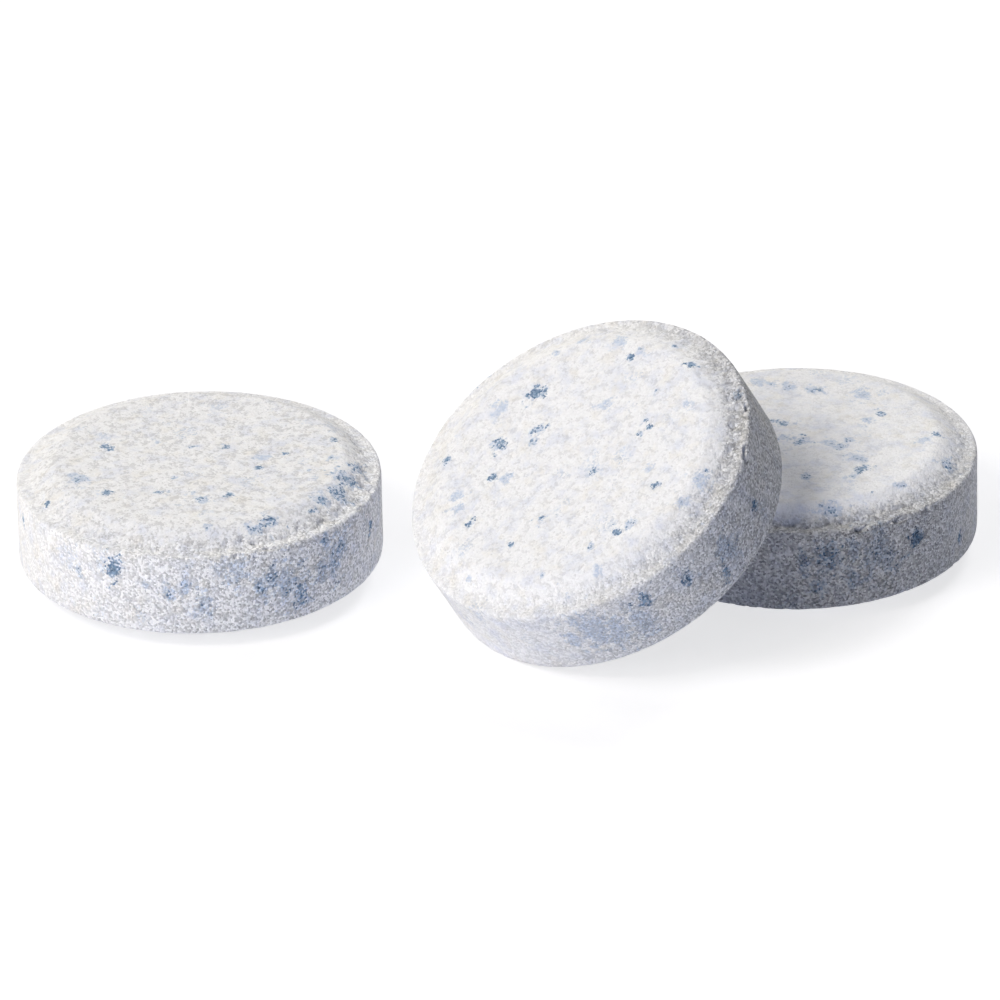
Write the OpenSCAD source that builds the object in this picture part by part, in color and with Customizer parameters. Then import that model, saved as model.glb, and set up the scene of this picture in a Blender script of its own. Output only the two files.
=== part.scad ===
// Three round cleaning tablets of pressed powder: two lie flat and one leans on the right one's rim.
// Millimetres, +Z up. The origin is on the surface they lie on, under the middle of the group.

/* [Tablet] */
// Diameter of a tablet over its wall
tablet_d = 36; // [30:0.5:50]
// Thickness of a tablet over its two flat faces
tablet_h = 11.6; // [9:0.1:16]
// Width of the sloped band round each flat face
bevel_w = 2.7; // [1.5:0.1:4]
// How far the sloped band falls away from the flat face
bevel_drop = 1.5; // [0.6:0.1:2.2]
// Width of the level land between the sloped band and the wall
land_w = 1; // [0.6:0.1:1.5]
// Radius of the worn corner between the land and the wall
corner_r = 0.4; // [0.1:0.05:0.5]

/* [Leaning tablet] */
// Angle between the leaning tablet and the surface
lean_angle = 31.8; // [25:0.2:38]
// Direction that the leaning tablet's upper face looks, turned from +X
lean_heading = 221.2; // [205:0.2:235]
// How far its middle stands to the side of the spot where it touches the right tablet's rim
lean_aside = 2.4; // [-4:0.1:4]
// Clearance between its underside and the rim that carries it
lean_clearance = 0.05; // [0.02:0.01:0.2]

/* [Left tablet] */
// Clear space between the left tablet and the leaning one, measured along X
left_gap = 2.9; // [1:0.1:20]
// How far the left tablet lies in front of the right one
left_forward = 2.5; // [-15:0.5:15]

/* [Hidden] */
$fn = 128;

tablet_r = tablet_d / 2;
half_h = tablet_h / 2;
face_r = tablet_r - land_w - bevel_w;
land_z = half_h - bevel_drop;
powder_white = [0.93, 0.94, 0.96];

// Centre of the worn corner, and the angle between two points of its arc
corner = [tablet_r - corner_r, land_z - corner_r];
arc_step = 15;
// Outline of the upper edge, from the flat face out to the wall
edge = concat([[face_r, half_h], [tablet_r - land_w, land_z]],
              [for (a = [90 : -arc_step : 0]) corner + corner_r * [cos(a), sin(a)]]);

// Distance from a tablet's centre to its farthest point in a direction at the given angle to its axis
function reach(angle) = max([for (p = edge) p.x * abs(sin(angle)) + p.y * abs(cos(angle))]);

// Direction of the leaning tablet's axis
lean_axis = [sin(lean_angle) * cos(lean_heading), sin(lean_angle) * sin(lean_heading), cos(lean_angle)];
lean_reach_x = reach(acos(lean_axis.x));
lean_reach_y = reach(acos(lean_axis.y));

// Height of the leaning tablet's centre with its lowest edge on the surface
lean_z = reach(lean_angle);
// Distance between the two centres, square to its faces, with its underside on the right one's rim
lean_apart = reach(lean_angle) + lean_clearance + half_h;
// Level distance between the two centres along the heading
lean_out = (lean_apart - (lean_z - half_h) * cos(lean_angle)) / sin(lean_angle);

// Centres, measured from the right tablet's own
right_at = [0, 0];
lean_at = [lean_out * cos(lean_heading) + lean_aside * sin(lean_heading),
           lean_out * sin(lean_heading) - lean_aside * cos(lean_heading)];
left_at = [lean_at.x - lean_reach_x - left_gap - tablet_r, -left_forward];

// Corners of the box round the group, and the middle that the origin stands under
low = [left_at.x - tablet_r, min(left_at.y - tablet_r, lean_at.y - lean_reach_y, -tablet_r)];
high = [max(tablet_r, lean_at.x + lean_reach_x),
        max(left_at.y + tablet_r, lean_at.y + lean_reach_y, tablet_r)];
middle = (low + high) / 2;

// One tablet, centred on its own middle: flat face, sloped band, land, worn corner and wall,
// the same on both sides
module tablet() {
    lower_edge = [for (i = [len(edge) - 1 : -1 : 0]) [edge[i].x, -edge[i].y]];
    color(powder_white) rotate_extrude()
        polygon(concat([[0, half_h]], edge, lower_edge, [[0, -half_h]]));
}

module tablet_left() {
    translate([left_at.x - middle.x, left_at.y - middle.y, half_h]) tablet();
}

module tablet_leaning() {
    translate([lean_at.x - middle.x, lean_at.y - middle.y, lean_z])
        rotate([0, lean_angle, lean_heading]) tablet();
}

module tablet_right() {
    translate([right_at.x - middle.x, right_at.y - middle.y, half_h]) tablet();
}

tablet_left();
tablet_leaning();
tablet_right();
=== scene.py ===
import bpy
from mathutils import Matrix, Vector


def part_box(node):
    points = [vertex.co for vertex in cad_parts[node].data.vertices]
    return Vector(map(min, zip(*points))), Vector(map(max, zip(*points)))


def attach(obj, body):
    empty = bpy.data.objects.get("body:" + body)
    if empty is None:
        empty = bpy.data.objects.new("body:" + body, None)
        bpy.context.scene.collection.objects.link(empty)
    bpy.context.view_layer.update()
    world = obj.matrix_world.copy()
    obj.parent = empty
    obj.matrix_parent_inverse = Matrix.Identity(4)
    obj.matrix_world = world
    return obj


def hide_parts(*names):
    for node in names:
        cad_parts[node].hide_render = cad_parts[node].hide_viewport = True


bl_info = {
    "name": "Pressed Cleaning Tablets",
    "version": (1, 0, 0),
    "blender": (4, 5, 0),
    "location": "View3D > Sidebar > Tablets",
    "description": "Dresses the three pressed powder tablets and sets up their studio",
    "category": "Object",
}

import math
import random
from typing import NamedTuple

import bmesh
import bpy
from bpy.props import FloatProperty, FloatVectorProperty, IntProperty, PointerProperty
from mathutils import Matrix, Vector, kdtree, noise
from mathutils.bvhtree import BVHTree

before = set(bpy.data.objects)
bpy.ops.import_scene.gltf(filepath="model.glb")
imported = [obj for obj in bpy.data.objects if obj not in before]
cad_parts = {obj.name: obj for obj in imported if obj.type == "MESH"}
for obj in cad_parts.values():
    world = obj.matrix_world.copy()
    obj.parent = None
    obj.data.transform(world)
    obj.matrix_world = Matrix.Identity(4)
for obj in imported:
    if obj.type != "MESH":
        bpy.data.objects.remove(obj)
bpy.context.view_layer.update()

BODY = "root"
POWDER = "pressed_detergent_powder"
MM = 0.001
UP = Vector((0, 0, 1))

# The photo's width in pixels, and the sensor's in millimetres
PHOTO_WIDTH = 1000
SENSOR_WIDTH_MM = 36
# How far the studio's floor and the camera's sight reach, in metres
FLOOR_REACH = 20
SIGHT_REACH = 100

# Widths in millimetres of what broke and crumbled: the broken corner and its ragged edge, soft
# lumps, stretches of rim that crumbled more, chips and the crumbs at their edges, and pits
BREAK_MM = 2.2
RAGGED_MM = 0.7
LUMP_MM = 1.9
STRETCH_MM = 5
CHIP_MM = 0.9
CHIP_EDGE_MM = 0.4
PIT_MM = 0.7
# How far from its crest the rim is worn, in millimetres
RIM_MM = 1.9
# The edge of the flat face is smoothed from this share of its radius outwards, this many times
SMOOTH_FROM = 0.9
SMOOTHINGS = 8

# Widths in millimetres of what shows in the material: single grains, crumbs, patches of mixed
# powder and drag marks. Real grains are finer, and are drawn this coarse so that they show
GRAIN_MM = 0.2
CRUMB_MM = 0.75
PATCH_MM = 2.0
DRAG_MM = 0.4
# How far the material's relief stands back, in millimetres
RELIEF_MM = 0.16
# A drag mark is ten times as tall as it is wide
UPRIGHT = (1, 1, 0.1)

# The die dragged the granules on the wall into upright streaks, this many times as tall as wide
STREAK = 1.6
# Dust reaches this share of its width from the granule's middle, and where it is ragged this many
# times as far. Its edge wanders over these widths, in millimetres
DUST_REACH = 0.8
RAGGED_REACH = 1.8
DUST_EDGE_MM = (0.6, 1.5)
# Cosine of the angle to the line of sight below which a surface is well out of the photo's view
OUT_OF_VIEW = -0.35
# Granules out of view, and faint spots of dust: from where to where their width in millimetres,
# their dust and their dark core are drawn
HIDDEN_SPOT = ((0.8, 2.2), (0.5, 1.0), (0.4, 1.0))
FAINT_SPOT = ((0.5, 2.2), (0.2, 0.6), (0.0, 0.3))

# Settings that several shader nodes share
MULTIPLY = {"operation": "MULTIPLY"}
MULTIPLY_ADD = {"operation": "MULTIPLY_ADD"}
COLOURS = {"data_type": "RGBA"}


class Pressing(NamedTuple):
    """One tablet's own pressing: the piece's name, the seed of its powder, the side that it tore
    on as it left the die, in degrees from +X, and how coarse its faces and its wall came out. The
    wall's coarseness also sets how far its colour is darkened as painted shade, most on the torn
    side, which faces away from the key light."""

    name: str
    seed: int
    torn_side: float
    coarse_face: float
    coarse_wall_and_shade: float


# The walls of the leaning tablet and of the one that carries it are darkened most, as painted shade
# for the shade that falls on them
TABLETS = {
    "tablet_left": Pressing(
        "powder_tablet_left", seed=11, torn_side=308, coarse_face=0.25, coarse_wall_and_shade=0.85
    ),
    "tablet_leaning": Pressing(
        "powder_tablet_leaning", seed=23, torn_side=348, coarse_face=0.12, coarse_wall_and_shade=2.3
    ),
    "tablet_right": Pressing(
        "powder_tablet_right", seed=37, torn_side=282, coarse_face=0.05, coarse_wall_and_shade=3.2
    ),
}


def linear(hex_colour):
    """Turns an sRGB hex colour into the linear RGB that Blender's sockets take."""
    channels = [int(hex_colour[i : i + 2], 16) / 255 for i in (1, 3, 5)]
    return [c / 12.92 if c <= 0.04045 else ((c + 0.055) / 1.055) ** 2.4 for c in channels]


class Spot(NamedTuple):
    """Coloured granules in a tablet's own frame: their middle, the width of their dust, and how
    much pale dust and how much dark granule there is, from 0 to 1."""

    centre: Vector
    width: float
    dust: float
    core: float


class Granule(NamedTuple):
    """Coloured granules in the powder: their photo pixel, the width of their pale dust in
    millimetres, and how much of their dark middle shows, from 0 to 1."""

    px: float
    py: float
    width: float
    core: float


# Granules on the tablet that lies alone
LEFT_GRANULES = [
    Granule(px=107, py=447, width=0.9, core=1.0),
    Granule(px=157, py=442, width=0.8, core=0.45),
    Granule(px=191, py=447, width=0.7, core=0.6),
    Granule(px=226, py=446, width=0.9, core=0.8),
    Granule(px=259, py=467, width=0.9, core=1.0),
    Granule(px=260, py=457, width=1.3, core=0.2),
    Granule(px=285, py=453, width=0.5, core=1.0),
    Granule(px=335, py=440, width=0.8, core=0.7),
    Granule(px=332, py=457, width=1.0, core=0.3),
    Granule(px=309, py=470, width=0.6, core=0.5),
    Granule(px=78, py=479, width=1.5, core=0.4),
    Granule(px=107, py=493, width=1.0, core=1.0),
    Granule(px=159, py=492, width=1.0, core=0.9),
    Granule(px=201, py=499, width=1.6, core=0.5),
    Granule(px=231, py=494, width=1.0, core=0.8),
    Granule(px=176, py=477, width=0.5, core=0.6),
    Granule(px=48, py=502, width=0.7, core=1.0),
    Granule(px=23, py=519, width=0.5, core=0.9),
    Granule(px=207, py=525, width=1.0, core=0.4),
    Granule(px=311, py=511, width=0.5, core=1.0),
    Granule(px=357, py=467, width=1.9, core=0.65),
    Granule(px=348, py=480, width=2.2, core=0.65),
    Granule(px=337, py=492, width=2.0, core=0.6),
    Granule(px=322, py=500, width=1.8, core=0.5),
    Granule(px=270, py=522, width=1.6, core=0.6),
    Granule(px=254, py=530, width=1.6, core=0.5),
    Granule(px=266, py=525, width=0.6, core=1.0),
    Granule(px=114, py=570, width=1.3, core=1.0),
    Granule(px=79, py=570, width=0.9, core=0.3),
    Granule(px=371, py=525, width=0.9, core=0.9),
    Granule(px=342, py=543, width=1.6, core=0.4),
    Granule(px=334, py=561, width=2.4, core=0.5),
    Granule(px=322, py=570, width=1.6, core=0.4),
    Granule(px=301, py=592, width=2.2, core=0.6),
    Granule(px=273, py=576, width=1.6, core=0.5),
    Granule(px=260, py=587, width=1.4, core=0.5),
    Granule(px=286, py=584, width=2.6, core=0.3),
    Granule(px=326, py=540, width=1.2, core=0.5),
    Granule(px=145, py=586, width=0.7, core=0.5),
    Granule(px=168, py=594, width=0.8, core=0.5),
    Granule(px=186, py=584, width=0.8, core=0.5),
    Granule(px=204, py=604, width=1.4, core=0.3),
    Granule(px=237, py=570, width=1.5, core=0.25),
]
# Granules on the leaning tablet
LEANING_GRANULES = [
    Granule(px=536, py=392, width=1.5, core=0.95),
    Granule(px=581, py=341, width=1.3, core=0.2),
    Granule(px=619, py=340, width=1.7, core=0.2),
    Granule(px=631, py=358, width=0.8, core=0.95),
    Granule(px=640, py=351, width=1.0, core=0.3),
    Granule(px=691, py=364, width=0.8, core=0.95),
    Granule(px=556, py=352, width=0.7, core=0.3),
    Granule(px=674, py=346, width=0.6, core=0.4),
    Granule(px=501, py=409, width=1.5, core=0.15),
    Granule(px=537, py=430, width=1.1, core=0.6),
    Granule(px=533, py=440, width=0.8, core=0.5),
    Granule(px=499, py=445, width=1.3, core=0.76),
    Granule(px=448, py=459, width=0.9, core=0.95),
    Granule(px=492, py=478, width=1.0, core=0.95),
    Granule(px=505, py=479, width=1.1, core=0.3),
    Granule(px=594, py=470, width=0.8, core=0.95),
    Granule(px=649, py=427, width=1.0, core=0.95),
    Granule(px=640, py=433, width=0.9, core=0.66),
    Granule(px=656, py=390, width=0.6, core=0.4),
    Granule(px=686, py=404, width=0.9, core=0.3),
    Granule(px=606, py=404, width=1.1, core=0.1),
    Granule(px=647, py=470, width=0.8, core=0.2),
    Granule(px=656, py=485, width=0.7, core=0.76),
    Granule(px=707, py=470, width=0.4, core=0.95),
    Granule(px=700, py=480, width=1.8, core=0.25),
    Granule(px=469, py=523, width=0.9, core=0.95),
    Granule(px=456, py=496, width=1.3, core=0.1),
    Granule(px=459, py=508, width=1.3, core=0.15),
    Granule(px=510, py=545, width=0.7, core=0.76),
    Granule(px=540, py=519, width=0.8, core=0.76),
    Granule(px=542, py=575, width=0.6, core=0.76),
    Granule(px=617, py=531, width=0.8, core=0.95),
    Granule(px=630, py=522, width=1.1, core=0.4),
    Granule(px=591, py=547, width=0.7, core=0.66),
    Granule(px=599, py=569, width=0.8, core=0.2),
    Granule(px=684, py=501, width=1.4, core=0.3),
    Granule(px=738, py=393, width=1.3, core=0.6),
    Granule(px=469, py=579, width=0.8, core=0.2),
    Granule(px=755, py=506, width=1.1, core=0.85),
    Granule(px=726, py=571, width=1.0, core=0.76),
    Granule(px=688, py=580, width=1.3, core=0.76),
    Granule(px=645, py=599, width=1.5, core=0.76),
    Granule(px=728, py=547, width=2.4, core=0.3),
    Granule(px=594, py=630, width=3.2, core=0.1),
    Granule(px=618, py=632, width=2.4, core=0.15),
    Granule(px=643, py=622, width=2.2, core=0.2),
    Granule(px=575, py=640, width=1.4, core=0.1),
]
# Granules on the tablet that carries the leaning one
RIGHT_GRANULES = [
    Granule(px=757, py=382, width=1.3, core=0.18),
    Granule(px=772, py=384, width=1.3, core=0.26),
    Granule(px=789, py=387, width=1.6, core=0.35),
    Granule(px=815, py=390, width=1.5, core=0.44),
    Granule(px=863, py=395, width=1.6, core=0.26),
    Granule(px=881, py=413, width=0.9, core=0.7),
    Granule(px=868, py=420, width=1.3, core=0.35),
    Granule(px=784, py=424, width=1.7, core=0.53),
    Granule(px=784, py=436, width=1.2, core=0.44),
    Granule(px=801, py=441, width=1.7, core=0.53),
    Granule(px=832, py=442, width=1.3, core=0.35),
    Granule(px=849, py=440, width=1.2, core=0.35),
    Granule(px=841, py=446, width=1.2, core=0.44),
    Granule(px=937, py=433, width=0.9, core=0.79),
    Granule(px=925, py=439, width=1.3, core=0.35),
    Granule(px=857, py=457, width=1.5, core=0.35),
    Granule(px=861, py=469, width=1.5, core=0.79),
    Granule(px=853, py=476, width=1.1, core=0.35),
    Granule(px=947, py=464, width=1.7, core=0.44),
    Granule(px=807, py=477, width=1.5, core=0.44),
    Granule(px=832, py=511, width=1.8, core=0.44),
    Granule(px=872, py=492, width=0.4, core=0.88),
    Granule(px=901, py=484, width=0.8, core=0.35),
    Granule(px=917, py=537, width=1.4, core=1.0),
    Granule(px=960, py=536, width=0.8, core=1.0),
    Granule(px=830, py=558, width=2.6, core=0.5),
    Granule(px=877, py=551, width=2.8, core=0.3),
    Granule(px=803, py=564, width=1.3, core=0.5),
    Granule(px=854, py=550, width=1.6, core=0.3),
    Granule(px=887, py=556, width=2.0, core=0.3),
    Granule(px=820, py=587, width=1.3, core=0.5),
    Granule(px=853, py=580, width=1.6, core=0.4),
]


class TabletSettings(bpy.types.PropertyGroup):
    """Sizes and colours of the pressed powder."""

    pitch: FloatProperty(
        name="Mesh pitch",
        description="Distance between neighbouring vertices of a tablet",
        default=0.2 * MM,
        unit="LENGTH",
    )
    lump_height: FloatProperty(
        name="Lump height",
        description="Height of the soft lumps over the whole tablet",
        default=0.06 * MM,
        unit="LENGTH",
    )
    chip_depth: FloatProperty(
        name="Chip depth",
        description="How deep the crumbled rim is chipped",
        default=0.42 * MM,
        unit="LENGTH",
    )
    corner_break: FloatProperty(
        name="Broken corner",
        description="How wide the upper corner has broken off on the torn side",
        default=1.3 * MM,
        unit="LENGTH",
    )
    pit_depth: FloatProperty(
        name="Pit depth",
        description="Depth of the small pits where crumbs fell out",
        default=0.22 * MM,
        unit="LENGTH",
    )
    grain_height: FloatProperty(
        name="Grain height",
        description="How far single grains of powder stand back from each other",
        default=0.03 * MM,
        unit="LENGTH",
    )
    hidden_granules: IntProperty(
        name="Granules out of view",
        description="How many coloured granules each tablet has where the photo doesn't reach",
        default=60,
    )
    faint_granules: IntProperty(
        name="Faint dust spots",
        description="How many spots of pale blue dust each tablet has all over",
        default=80,
    )
    powder: FloatVectorProperty(
        name="Powder",
        description="Colour of the white powder",
        subtype="COLOR",
        default=linear("#F8F8F9"),
    )
    cool_patch: FloatVectorProperty(
        name="Cool patch",
        description="Colour of the patches where blue dust has mixed with the powder",
        subtype="COLOR",
        default=linear("#DFE3F0"),
    )
    warm_patch: FloatVectorProperty(
        name="Warm patch",
        description="Colour of the creamy patches of bleach powder",
        subtype="COLOR",
        default=linear("#F1EEE8"),
    )
    # The pores' colour is painted shade in their hollows
    pore_shade: FloatVectorProperty(
        name="Pore",
        description="Colour of the pores between the crumbs",
        subtype="COLOR",
        default=linear("#9C9A9B"),
    )
    dust: FloatVectorProperty(
        name="Blue dust",
        description="Colour of the pale dust round the blue granules",
        subtype="COLOR",
        default=linear("#CAD5E6"),
    )
    granule: FloatVectorProperty(
        name="Granule",
        description="Lighter colour of the blue granules",
        subtype="COLOR",
        default=linear("#A4B9D0"),
    )
    granule_deep: FloatVectorProperty(
        name="Deep granule",
        description="Darker colour of the blue granules",
        subtype="COLOR",
        default=linear("#567696"),
    )


class StudioSettings(bpy.types.PropertyGroup):
    """Camera, floor and light."""

    elevation: FloatProperty(
        name="Camera elevation",
        description="How far the camera looks down",
        default=math.radians(27.56),
        subtype="ANGLE",
    )
    roll: FloatProperty(
        name="Camera roll",
        description="Turn of the camera about its own line of sight",
        default=math.radians(-1.15),
        subtype="ANGLE",
    )
    distance: FloatProperty(
        name="Camera distance",
        description="From the camera to the point that it looks at",
        default=1.1282,
        unit="LENGTH",
    )
    lens: FloatProperty(
        name="Focal length",
        description="Focal length on a 36 mm wide sensor",
        default=407.1,
        unit="CAMERA",
    )
    aim: FloatVectorProperty(
        name="Aim",
        description="The point on the floor that the camera looks at",
        default=(0.00021, 0.01682, 0),
        subtype="TRANSLATION",
    )
    lamp_distance: FloatProperty(
        name="Lamp distance",
        description="From the lamps to the tablets",
        default=0.9,
        unit="LENGTH",
    )
    lamp_size: FloatProperty(
        name="Lamp size",
        description="Width of each square soft box",
        default=0.35,
        unit="LENGTH",
    )


def camera_matrix(studio):
    """Place and turn of the camera: it looks along +Y, down by its elevation, at the aim."""
    tilt = Matrix.Rotation(math.pi / 2 - studio.elevation, 4, "X")
    turn = tilt @ Matrix.Rotation(studio.roll, 4, "Z")
    back = turn.to_3x3() @ Vector((0, 0, studio.distance))
    return Matrix.Translation(Vector(studio.aim) + back) @ turn


def photo_ray(studio, px, py):
    """Start and direction of the line of sight through a pixel of the photo's 1000 x 1000 frame."""
    matrix = camera_matrix(studio)
    half = PHOTO_WIDTH / 2
    spread = SENSOR_WIDTH_MM / studio.lens / PHOTO_WIDTH
    direction = Vector(((px - half) * spread, (half - py) * spread, -1))
    return matrix.translation, (matrix.to_3x3() @ direction).normalized()


def tablet_placement(node):
    """Matrix from a tablet's own frame, centred with its axis on Z, to the row frame."""
    low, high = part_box(node)
    areas = {}
    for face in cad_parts[node].data.polygons:
        facing = tuple(round(c, 3) for c in face.normal)
        areas[facing] = areas.get(facing, 0) + face.area
    # The two flat faces are the largest, and the upper one's normal is the axis
    axis = Vector(max(areas, key=lambda facing: (round(areas[facing] / MM**2), facing[2])))
    turn = UP.rotation_difference(axis).to_matrix().to_4x4()
    return Matrix.Translation((low + high) / 2) @ turn


def pressed_outline(node, placement):
    """Upper half of the tablet's outline as (radius, height), from the flat face over slope and
    land to the wall."""
    to_own = placement.inverted()
    cell = 0.03 * MM
    rings = {}
    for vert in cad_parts[node].data.vertices:
        own = to_own @ vert.co
        if own.z > cell and own.xy.length > cell:
            key = (round(own.xy.length / cell), round(own.z / cell))
            rings.setdefault(key, Vector((own.xy.length, own.z)))
    outline = []
    for ring in sorted(rings.values(), key=lambda ring: ring.x / ring.y):
        if not outline or (ring - outline[-1]).length > 2 * cell:
            outline.append(ring)
    return outline


def to_disc(x, y):
    """Point of the unit disc for a point of the square from -1 to 1, so that a square grid's rings
    turn round."""
    reach = max(abs(x), abs(y))
    if reach == 0:
        return 0, 0
    angle = math.pi / 4 * (y / x if abs(x) >= abs(y) else 2 - x / y)
    if (x if abs(x) >= abs(y) else y) < 0:
        angle += math.pi
    return reach * math.cos(angle), reach * math.sin(angle)


def pressed_blank(outline, pitch):
    """A clean tablet: a disc of quads for each face, and the upper one's edge drawn down over
    slope, land, corner and wall to the lower one, in strips about a pitch wide."""
    rings = outline + [Vector((ring.x, -ring.y)) for ring in reversed(outline)]
    radius, height = rings[0]
    cells = round(math.pi / 2 * outline[-1].x / pitch)
    bm = bmesh.new()
    bmesh.ops.create_grid(bm, x_segments=cells, y_segments=cells, size=1)
    for vert in bm.verts:
        x, y = to_disc(vert.co.x, vert.co.y)
        vert.co = (x * radius, y * radius, height)
    loop = [edge for edge in bm.edges if edge.is_boundary]
    under = bmesh.ops.duplicate(bm, geom=bm.verts[:] + bm.edges[:] + bm.faces[:])["geom"]
    under_verts = [part for part in under if isinstance(part, bmesh.types.BMVert)]
    bmesh.ops.translate(bm, verts=under_verts, vec=(0, 0, -2 * height))
    strips = []
    for before, after in zip(rings, rings[1:]):
        drawn = bmesh.ops.extrude_edge_only(bm, edges=loop)["geom"]
        loop = [part for part in drawn if isinstance(part, bmesh.types.BMEdge)]
        verts = [part for part in drawn if isinstance(part, bmesh.types.BMVert)]
        spread = after.x / before.x
        bmesh.ops.scale(bm, verts=verts, vec=(spread, spread, 1))
        bmesh.ops.translate(bm, verts=verts, vec=(0, 0, after.y - before.y))
        sides = {edge for vert in verts for edge in vert.link_edges} - set(loop)
        strips.append((list(sides), round((after - before).length / pitch) - 1))
    for sides, cuts in strips:
        if cuts > 0:
            bmesh.ops.subdivide_edges(bm, edges=sides, cuts=cuts)
    bmesh.ops.remove_doubles(bm, verts=bm.verts, dist=pitch / 20)
    bmesh.ops.recalc_face_normals(bm, faces=bm.faces)
    # The operators number the vertices anew in each run, and wear draws its grains in their order
    by_place = sorted(bm.verts, key=lambda vert: [round(c / MM, 2) for c in vert.co.zxy])
    for index, vert in enumerate(by_place):
        vert.index = index
    bm.verts.sort()
    return bm


def rim_share(own, outline):
    """1 at the crest between land and wall, falling to 0 at the edge of the worn rim."""
    crest = (outline[1] + outline[-1]) / 2
    away = math.hypot(own.xy.length - crest.x, abs(own.z) - crest.y)
    return max(0.0, 1 - away / (RIM_MM * MM))


def wall_share(own, outline):
    """1 on the wall, 0 on faces and slopes."""
    land, wall = outline[1], outline[-1]
    return min(1.0, max(0.0, (land.y - abs(own.z)) / (land.y - wall.y)))


def torn_share(outward, torn_side):
    """1 on the side where a tablet tore as it was pushed out of the die, 0 on the opposite side."""
    around = outward.xy.normalized()
    torn = math.radians(torn_side)
    return (0.5 + 0.5 * (around.x * math.cos(torn) + around.y * math.sin(torn))) ** 2


def crumble(bm, outline, settings, offset, torn, rng):
    """Wears the clean tablet: a corner broken off on the torn side, soft lumps all over, chips
    along the rim, pits where crumbs fell out, and single grains that stand back. Every vertex
    moves inwards."""
    smooth_from = outline[0].x * SMOOTH_FROM
    worn = [vert for vert in bm.verts if vert.co.xy.length > smooth_from]
    for _ in range(SMOOTHINGS):
        bmesh.ops.smooth_vert(
            bm, verts=worn, factor=0.5, use_axis_x=True, use_axis_y=True, use_axis_z=True
        )
    bm.normal_update()
    crest = Vector((outline[-1].x, outline[1].y))
    moves = []
    for vert, tear in zip(bm.verts, torn):
        place = vert.co / MM + offset
        rim = rim_share(vert.co, outline)
        # The corner between land and wall broke off in a ragged slope
        ragged = 0.75 + noise.noise(place / BREAK_MM) + 1.2 * noise.noise(place / RAGGED_MM)
        broken = settings.corner_break * tear * ragged
        over = vert.co.xy.length - crest.x + vert.co.z - crest.y + max(0.0, broken)
        if over > 0 and vert.co.z > 0:
            around = vert.co.xy.normalized()
            vert.co -= Vector((around.x, around.y, 1)) * over / 2
        # The upper rim stuck to the punch and crumbled more than the lower one
        rough = rim * (0.12 + 0.88 * tear) * (1 if vert.co.z > 0 else 0.2)
        lump = 0.5 + 0.5 * noise.fractal(place / LUMP_MM, 0.9, 2.1, 3)
        patchy = 0.85 + 0.7 * noise.noise(place / STRETCH_MM)
        chip = 0.35 + noise.noise(place / CHIP_MM) + 0.6 * noise.noise(place / CHIP_EDGE_MM)
        hole = noise.noise(place / PIT_MM + offset) - 0.44 + 0.2 * rough
        depth = settings.lump_height * lump * (0.6 + rim)
        depth += settings.chip_depth * max(0.0, chip) * rim * rough * patchy
        depth += settings.pit_depth * min(1.0, max(0.0, hole * 6)) * (0.25 + rough)
        depth += settings.grain_height * rng.random() * (0.5 + rough)
        moves.append(vert.normal * -max(0.0, depth))
    for vert, move in zip(bm.verts, moves):
        vert.co += move


def seen_spots(node, seen_granules, bm, studio, to_own):
    """Spots where the lines of sight through the photo's granules meet the clean tablet."""
    surface = BVHTree.FromBMesh(bm)
    spots = []
    for seen in seen_granules:
        start, direction = photo_ray(studio, seen.px, seen.py)
        hit = surface.ray_cast(to_own @ start, to_own.to_3x3() @ direction)[0]
        if hit is None:
            raise RuntimeError(f"the granule at pixel {seen.px}, {seen.py} misses {node}")
        spots.append(Spot(hit, seen.width * MM, dust=1.0, core=seen.core))
    return spots


def surface_point(rng, outline):
    """A point of the clean tablet in its own frame with its outward direction, spread evenly over
    the tablet's area."""
    radius, height = outline[-1]
    face_height = outline[0].y
    angle = rng.uniform(0, 2 * math.pi)
    around = Vector((math.cos(angle), math.sin(angle), 0))
    if rng.random() < radius / (radius + 2 * height):
        side = rng.choice((-1, 1))
        out = around * radius * math.sqrt(rng.random())
        return out + UP * face_height * side, UP * side
    return around * radius + UP * rng.uniform(-height, height), around


def drawn_spot(rng, centre, ranges):
    """A spot whose width, dust and core are drawn from their ranges."""
    width, dust, core = (rng.uniform(low, high) for low, high in ranges)
    return Spot(centre, width * MM, dust, core)


def scattered_spots(rng, outline, settings, eye):
    """Spots of granules where the photo doesn't reach, and faint spots of dust all over."""
    spots = []
    for _ in range(settings.hidden_granules):
        point, outward = surface_point(rng, outline)
        spot = drawn_spot(rng, point, HIDDEN_SPOT)
        # On a rim the spot would reach round into view
        hidden = outward.dot((eye - point).normalized()) < OUT_OF_VIEW
        if hidden and not rim_share(point, outline):
            spots.append(spot)
    for _ in range(settings.faint_granules):
        point = surface_point(rng, outline)[0]
        spots.append(drawn_spot(rng, point, FAINT_SPOT))
    return spots


def spot_shares(bm, spots, outline, offset):
    """How much pale dust and how much dark granule each vertex has, from 0 to 1."""
    tree = kdtree.KDTree(len(bm.verts))
    for index, vert in enumerate(bm.verts):
        tree.insert(vert.co, index)
    tree.balance()
    dust = [0.0] * len(bm.verts)
    core = [0.0] * len(bm.verts)
    fine_mm, broad_mm = DUST_EDGE_MM
    for spot in spots:
        streak = STREAK if wall_share(spot.centre, outline) > 0.5 else 1.0
        reach = spot.width * DUST_REACH
        for co, index, _ in tree.find_range(spot.centre, reach * streak * RAGGED_REACH):
            away = co - spot.centre
            away.z /= streak
            place = co / MM
            ragged = 1 + 0.8 * noise.noise(place / fine_mm + offset)
            ragged += 0.5 * noise.noise(place / broad_mm + offset)
            near = max(0.0, 1 - away.length * max(0.4, ragged) / reach)
            dust[index] = max(dust[index], spot.dust * min(1.0, near * 1.6))
            core[index] = max(core[index], spot.core * near)
    return {"dust": dust, "core": core}


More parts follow.
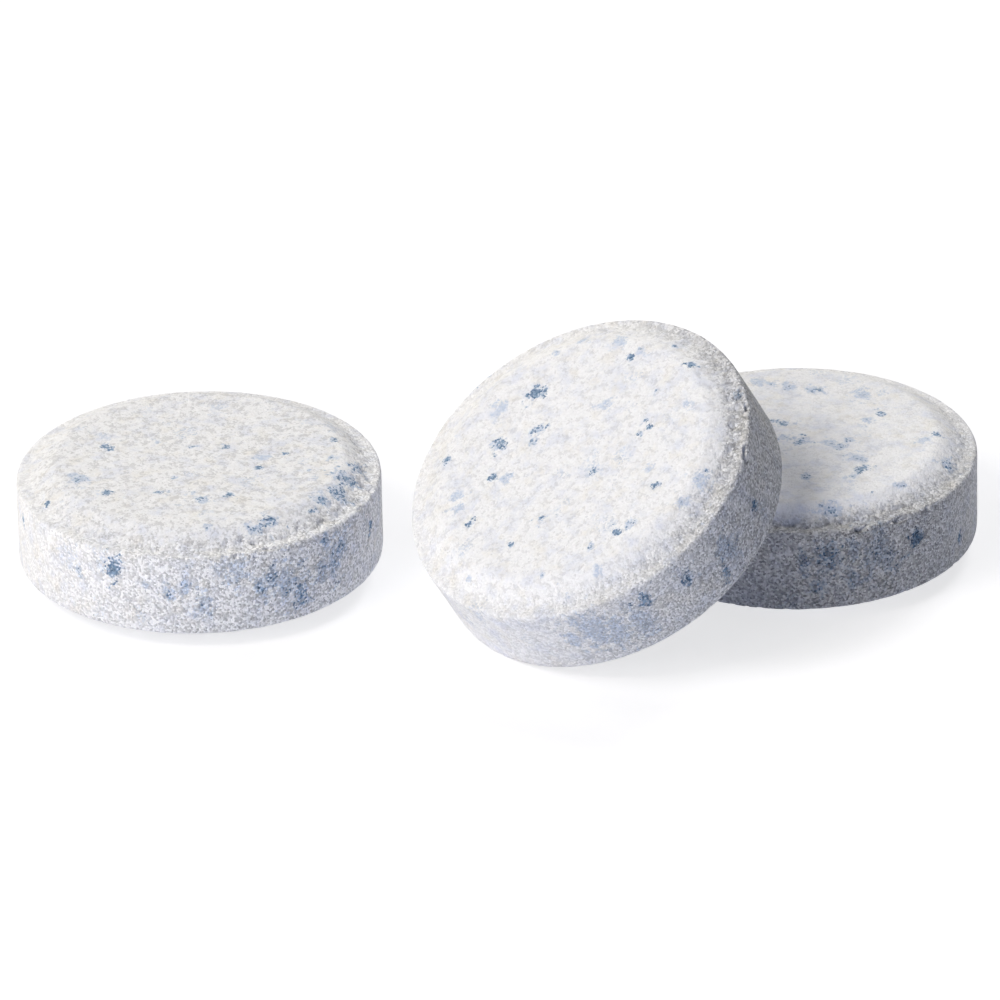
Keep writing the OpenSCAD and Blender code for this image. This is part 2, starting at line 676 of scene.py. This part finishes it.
def powder_shares(bm, outline, pressing, torn):
    """What the material reads at each vertex: how far it is wall, how porous it is and so how much
    painted shade its pores carry, how much the tones of its grains differ with painted shade
    between them, how far its colour is darkened by coarse powder and by painted shade, and how far
    its grains stand out."""
    shares = {"wall": [], "porous": [], "grain_tone_and_shade": [], "brightness_with_painted_shade": [], "relief": []}
    face = pressing.coarse_face
    for vert, tear in zip(bm.verts, torn):
        rim = rim_share(vert.co, outline)
        wall = wall_share(vert.co, outline)
        # Coarse powder stands out more and has more painted shade between its grains. Its colour is
        # also darkened as painted shade, most on the torn side of the wall, which faces away from
        # the key light
        coarse = face + wall * (tear * pressing.coarse_wall_and_shade - face)
        shares["wall"].append(wall)
        # Most pores are along the torn rim, some on the faces, few on the wall that the die rubbed.
        # The pores' grey is painted shade
        shares["porous"].append(0.1 + 0.32 * rim * tear + 0.8 * face * (1 - wall))
        shares["grain_tone_and_shade"].append(0.07 + wall * (0.12 + 0.5 * tear) + 0.12 * coarse)
        shares["brightness_with_painted_shade"].append(1.02 - 0.18 * coarse)
        shares["relief"].append(0.6 + 0.4 * wall + 0.15 * coarse)
    return shares


def add_attribute(mesh, name, kind, values):
    """Stores a value for each vertex under a name that the material reads."""
    attribute = mesh.attributes.new(name, kind, "POINT")
    attribute.data.foreach_set("vector" if kind == "FLOAT_VECTOR" else "value", values)


def add_node(tree, kind, settings=None, **inputs):
    """Adds a shader node. settings are its own values. inputs are its sockets, by name or as
    _index, each with a value or the socket that feeds it."""
    node = tree.nodes.new(kind)
    for name, value in (settings or {}).items():
        setattr(node, name, value)
    for name, value in inputs.items():
        key = int(name[1:]) if name[0] == "_" else name.replace("_", " ")
        if isinstance(value, bpy.types.NodeSocket):
            tree.links.new(value, node.inputs[key])
        else:
            node.inputs[key].default_value = value
    return node


def pressed_powder(settings):
    """Pressed detergent powder, punched in a die."""
    # It is chalky and dull: coarse grains catch side light one by one, blue granules bleed a paler
    # dust into the white, creamy and bluish patches show where the powders mixed, and the die left
    # fine upright drag marks on the wall. Shade is painted into the colour: between the grains, in
    # the pores, and on the walls turned away from the key light
    material = bpy.data.materials.new(POWDER)
    material.use_nodes = True
    tree = material.node_tree
    tree.nodes.clear()
    place = add_node(tree, "ShaderNodeAttribute", {"attribute_name": "powder_mm"}).outputs["Vector"]
    own = {}
    for name in ("dust", "core", "wall", "porous", "grain_tone_and_shade", "brightness_with_painted_shade", "relief"):
        own[name] = add_node(tree, "ShaderNodeAttribute", {"attribute_name": name}).outputs["Fac"]

    # Every grain has its own tone, hue and weight, each a random value from 0 to 1
    grains = add_node(
        tree, "ShaderNodeTexVoronoi", Vector=place, Scale=1 / GRAIN_MM, Randomness=1.0
    )
    drawn = add_node(tree, "ShaderNodeSeparateColor", Color=grains.outputs["Color"])
    tone, hue, weight = drawn.outputs[0], drawn.outputs[1], drawn.outputs[2]
    crumbs = add_node(
        tree, "ShaderNodeTexNoise", Vector=place, Scale=1 / CRUMB_MM, Detail=3.0, Roughness=0.6
    )
    mixed = add_node(
        tree, "ShaderNodeTexNoise", Vector=place, Scale=1 / PATCH_MM, Detail=4.0, Roughness=0.6
    )
    patches = add_node(tree, "ShaderNodeSeparateColor", Color=mixed.outputs["Color"])
    upright = add_node(tree, "ShaderNodeVectorMath", MULTIPLY, _0=place, _1=UPRIGHT)
    drag = add_node(
        tree,
        "ShaderNodeTexNoise",
        Vector=upright.outputs["Vector"],
        Scale=1 / DRAG_MM,
        Detail=2.0,
        Roughness=0.6,
    )

    # Pores come in small clusters with gritty edges, their grey painted shade. Dust and granules
    # are mixed with white grains, fewer towards their middle
    crumb = crumbs.outputs["Fac"]
    gritty = add_node(tree, "ShaderNodeMath", MULTIPLY_ADD, _0=weight, _1=0.22, _2=crumb)
    cluster = add_node(
        tree, "ShaderNodeMath", MULTIPLY_ADD, _0=own["porous"], _1=0.1, _2=gritty.outputs[0]
    )
    dusty = add_node(tree, "ShaderNodeMath", MULTIPLY_ADD, _0=weight, _1=0.7, _2=own["dust"])
    blue = add_node(tree, "ShaderNodeMath", MULTIPLY_ADD, _0=hue, _1=0.6, _2=own["core"])
    deep, light = (*settings.granule_deep, 1), (*settings.granule, 1)
    flecked = add_node(tree, "ShaderNodeMix", COLOURS, _0=weight, _6=deep, _7=light)
    # What covers the white powder, from the lowest up: the value that brings it in, from where to
    # where it does so, how much of it there is at most, and its colour
    covers = (
        (patches.outputs[0], 0.48, 0.7, 0.6, (*settings.cool_patch, 1)),
        (patches.outputs[1], 0.52, 0.7, 0.6, (*settings.warm_patch, 1)),
        # The pores' grey is painted shade in their hollows
        (cluster.outputs[0], 0.68, 0.74, own["porous"], (*settings.pore_shade, 1)),
        (dusty.outputs[0], 0.7, 1.5, 0.9, (*settings.dust, 1)),
        (blue.outputs[0], 0.72, 0.84, 1.0, flecked.outputs[2]),
    )
    colour = (*settings.powder, 1)
    for value, low, high, most, over in covers:
        share = add_node(
            tree, "ShaderNodeMapRange", Value=value, From_Min=low, From_Max=high, To_Max=most
        )
        blend = add_node(
            tree, "ShaderNodeMix", COLOURS, _0=share.outputs["Result"], _6=colour, _7=over
        )
        colour = blend.outputs[2]

    # Painted shade: grains that stand back are in the shade of their neighbours and are drawn in
    # the darker tones, and the colour is darkened as a whole on coarse powder and on the walls
    # turned away from the key light
    lit = add_node(tree, "ShaderNodeMath", {"operation": "SUBTRACT"}, _0=tone, _1=0.5)
    toned = add_node(
        tree, "ShaderNodeMath", MULTIPLY_ADD, _0=lit.outputs[0], _1=own["grain_tone_and_shade"], _2=1.0
    )
    shade = add_node(tree, "ShaderNodeMath", MULTIPLY, _0=toned.outputs[0], _1=own["brightness_with_painted_shade"])
    shaded = add_node(
        tree, "ShaderNodeVectorMath", {"operation": "SCALE"}, _0=colour, Scale=shade.outputs[0]
    )

    # Each grain is a small dome that stands back by its tone, on crumbs and drag marks
    dome = add_node(tree, "ShaderNodeMath", MULTIPLY, _0=grains.outputs["Distance"], _1=-0.6)
    domes = add_node(
        tree, "ShaderNodeMath", MULTIPLY_ADD, _0=tone, _1=-0.35, _2=dome.outputs[0]
    )
    lumpy = add_node(
        tree, "ShaderNodeMath", MULTIPLY_ADD, _0=crumb, _1=0.9, _2=domes.outputs[0]
    )
    marks = add_node(tree, "ShaderNodeMath", MULTIPLY, _0=drag.outputs["Fac"], _1=own["wall"])
    marked = add_node(
        tree, "ShaderNodeMath", MULTIPLY_ADD, _0=marks.outputs[0], _1=0.9, _2=lumpy.outputs[0]
    )
    height = add_node(tree, "ShaderNodeMath", MULTIPLY, _0=marked.outputs[0], _1=own["relief"])
    bump = add_node(
        tree, "ShaderNodeBump", Height=height.outputs[0], Strength=1.0, Distance=RELIEF_MM * MM
    )
    dull = add_node(tree, "ShaderNodeMath", MULTIPLY_ADD, _0=tone, _1=0.15, _2=0.85)
    shader = add_node(
        tree,
        "ShaderNodeBsdfPrincipled",
        Base_Color=shaded.outputs["Vector"],
        Roughness=dull.outputs[0],
        IOR=1.46,
        Diffuse_Roughness=0.4,
        Normal=bump.outputs["Normal"],
    )
    add_node(tree, "ShaderNodeOutputMaterial", Surface=shader.outputs["BSDF"])
    return material


def make_tablet(context, node, seen_granules):
    """Models one tablet where its CAD node is, attaches it to the body and hides the CAD node."""
    pressing = TABLETS[node]
    settings = context.scene.tablet_settings
    studio = context.scene.studio_settings
    rng = random.Random(pressing.seed)
    # Each tablet has its own part of the endless powder
    offset = Vector([rng.uniform(50, 90) for _ in range(3)])
    placement = tablet_placement(node)
    to_own = placement.inverted()
    outline = pressed_outline(node, placement)
    bm = pressed_blank(outline, settings.pitch)

    # All shares are worked out on the clean tablet, before wear moves its vertices
    spots = seen_spots(node, seen_granules, bm, studio, to_own)
    eye = to_own @ camera_matrix(studio).translation
    spots += scattered_spots(rng, outline, settings, eye)
    powder_mm = [c for vert in bm.verts for c in vert.co / MM + offset]
    turn = placement.to_3x3()
    torn = [torn_share(turn @ vert.co, pressing.torn_side) for vert in bm.verts]
    shares = spot_shares(bm, spots, outline, offset) | powder_shares(bm, outline, pressing, torn)
    crumble(bm, outline, settings, offset, torn, rng)
    bm.transform(placement)
    mesh = bpy.data.meshes.new(pressing.name)
    bm.to_mesh(mesh)
    bm.free()
    mesh.shade_smooth()
    add_attribute(mesh, "powder_mm", "FLOAT_VECTOR", powder_mm)
    for label, values in shares.items():
        add_attribute(mesh, label, "FLOAT", values)
    mesh.materials.append(bpy.data.materials.get(POWDER) or pressed_powder(settings))
    piece = bpy.data.objects.new(pressing.name, mesh)
    context.scene.collection.objects.link(piece)
    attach(piece, BODY)
    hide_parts(node)


class TABLETS_OT_left(bpy.types.Operator):
    """Models the tablet that lies alone on the left"""

    bl_idname = "tablets.left"
    bl_label = "Left Tablet"

    def execute(self, context):
        make_tablet(context, "tablet_left", LEFT_GRANULES)
        return {"FINISHED"}


class TABLETS_OT_leaning(bpy.types.Operator):
    """Models the tablet that leans on the right one"""

    bl_idname = "tablets.leaning"
    bl_label = "Leaning Tablet"

    def execute(self, context):
        make_tablet(context, "tablet_leaning", LEANING_GRANULES)
        return {"FINISHED"}


class TABLETS_OT_right(bpy.types.Operator):
    """Models the tablet that carries the leaning one"""

    bl_idname = "tablets.right"
    bl_label = "Right Tablet"

    def execute(self, context):
        make_tablet(context, "tablet_right", RIGHT_GRANULES)
        return {"FINISHED"}


def white_paper():
    """White background paper, coated and matt."""
    # It is clean and even: the camera sees it lit up to full white, with the tablets' shadow as a
    # faint grey, and the light that it throws back on the tablets is that of plain paper
    material = bpy.data.materials.new("white_background_paper")
    material.use_nodes = True
    tree = material.node_tree
    tree.nodes.clear()
    path = add_node(tree, "ShaderNodeLightPath")
    seen = path.outputs["Is Camera Ray"]
    for ray in ("Is Glossy Ray", "Is Transmission Ray"):
        either = add_node(
            tree, "ShaderNodeMath", {"operation": "MAXIMUM"}, _0=seen, _1=path.outputs[ray]
        )
        seen = either.outputs[0]
    plain = add_node(tree, "ShaderNodeBsdfDiffuse", Color=(*linear("#FAFBFF"), 1))
    paper = add_node(tree, "ShaderNodeBsdfDiffuse", Color=(*linear("#AAAAAE"), 1))
    lift = add_node(tree, "ShaderNodeEmission", Color=(1, 1, 1, 1), Strength=0.7)
    lifted = add_node(tree, "ShaderNodeAddShader", _0=paper.outputs[0], _1=lift.outputs[0])
    shown = add_node(
        tree, "ShaderNodeMixShader", _0=seen, _1=plain.outputs[0], _2=lifted.outputs[0]
    )
    add_node(tree, "ShaderNodeOutputMaterial", Surface=shown.outputs[0])
    return material


def add_floor(context):
    """A plain white floor, wide enough to reach the horizon in low views."""
    bm = bmesh.new()
    bmesh.ops.create_grid(bm, x_segments=1, y_segments=1, size=FLOOR_REACH)
    mesh = bpy.data.meshes.new("studio_floor")
    bm.to_mesh(mesh)
    bm.free()
    mesh.materials.append(white_paper())
    floor = bpy.data.objects.new("studio_floor", mesh)
    context.scene.collection.objects.link(floor)


def add_world(context):
    """A white surround for the camera, and a faint cool light from all sides for the tablets."""
    world = bpy.data.worlds.new("studio_surround")
    world.use_nodes = True
    context.scene.world = world
    tree = world.node_tree
    tree.nodes.clear()
    path = add_node(tree, "ShaderNodeLightPath")
    soft = add_node(tree, "ShaderNodeBackground", Color=(*linear("#DDE4F4"), 1), Strength=0.03)
    white = add_node(tree, "ShaderNodeBackground", Color=(1, 1, 1, 1), Strength=1.0)
    seen = path.outputs["Is Camera Ray"]
    shown = add_node(
        tree, "ShaderNodeMixShader", _0=seen, _1=soft.outputs[0], _2=white.outputs[0]
    )
    add_node(tree, "ShaderNodeOutputWorld", Surface=shown.outputs[0])


def add_lamp(context, name, azimuth, elevation, power, colour):
    """A square soft box that looks at the tablets from an azimuth turned from +X and an elevation,
    in degrees."""
    studio = context.scene.studio_settings
    turn, rise = math.radians(azimuth), math.radians(elevation)
    level = math.cos(rise)
    direction = Vector((math.cos(turn) * level, math.sin(turn) * level, math.sin(rise)))
    lamp = bpy.data.lights.new(name, "AREA")
    lamp.size = studio.lamp_size
    lamp.energy = power
    lamp.color = linear(colour)
    holder = bpy.data.objects.new(name, lamp)
    facing = direction.to_track_quat("Z", "Y").to_matrix().to_4x4()
    holder.matrix_world = Matrix.Translation(direction * studio.lamp_distance) @ facing
    holder.visible_camera = False
    context.scene.collection.objects.link(holder)


class TABLETS_OT_studio(bpy.types.Operator):
    """Sets up the camera, the floor, the surround and the lamps"""

    bl_idname = "tablets.studio"
    bl_label = "Studio"

    def execute(self, context):
        studio = context.scene.studio_settings
        camera = bpy.data.cameras.new("photo_camera")
        camera.sensor_width = SENSOR_WIDTH_MM
        camera.lens = studio.lens
        camera.clip_end = SIGHT_REACH
        holder = bpy.data.objects.new("photo_camera", camera)
        holder.matrix_world = camera_matrix(studio)
        context.scene.collection.objects.link(holder)
        context.scene.camera = holder
        context.scene.view_settings.view_transform = "Standard"
        add_floor(context)
        add_world(context)
        add_lamp(context, "key_softbox", azimuth=208, elevation=50, power=4.35, colour="#FFFBF4")
        add_lamp(context, "low_softbox", azimuth=212, elevation=12, power=0.7, colour="#FFF3E2")
        add_lamp(context, "fill_softbox", azimuth=235, elevation=30, power=1.65, colour="#FFFDFA")
        add_lamp(context, "back_softbox", azimuth=60, elevation=40, power=4.1, colour="#FFFEFC")
        add_lamp(context, "side_softbox", azimuth=150, elevation=50, power=1.1, colour="#F8FAFF")
        add_lamp(context, "front_softbox", azimuth=280, elevation=10, power=1.5, colour="#BDCFFF")
        return {"FINISHED"}


class TABLETS_PT_panel(bpy.types.Panel):
    """Lists the settings and the steps that build the tablets"""

    bl_label = "Pressed Tablets"
    bl_idname = "TABLETS_PT_panel"
    bl_space_type = "VIEW_3D"
    bl_region_type = "UI"
    bl_category = "Tablets"

    def draw(self, context):
        layout = self.layout
        for group in (context.scene.tablet_settings, context.scene.studio_settings):
            for name in group.bl_rna.properties.keys():
                if name not in ("rna_type", "name"):
                    layout.prop(group, name)
        for operator in OPERATORS:
            layout.operator(operator.bl_idname)


OPERATORS = (TABLETS_OT_studio, TABLETS_OT_left, TABLETS_OT_leaning, TABLETS_OT_right)
CLASSES = (TabletSettings, StudioSettings, *OPERATORS, TABLETS_PT_panel)


def register():
    for cls in CLASSES:
        bpy.utils.register_class(cls)
    bpy.types.Scene.tablet_settings = PointerProperty(type=TabletSettings)
    bpy.types.Scene.studio_settings = PointerProperty(type=StudioSettings)


def unregister():
    del bpy.types.Scene.studio_settings
    del bpy.types.Scene.tablet_settings
    for cls in reversed(CLASSES):
        bpy.utils.unregister_class(cls)


def main():
    register()
    bpy.ops.tablets.studio()
    bpy.ops.tablets.left()
    bpy.ops.tablets.leaning()
    bpy.ops.tablets.right()


if __name__ == "__main__":
    main()
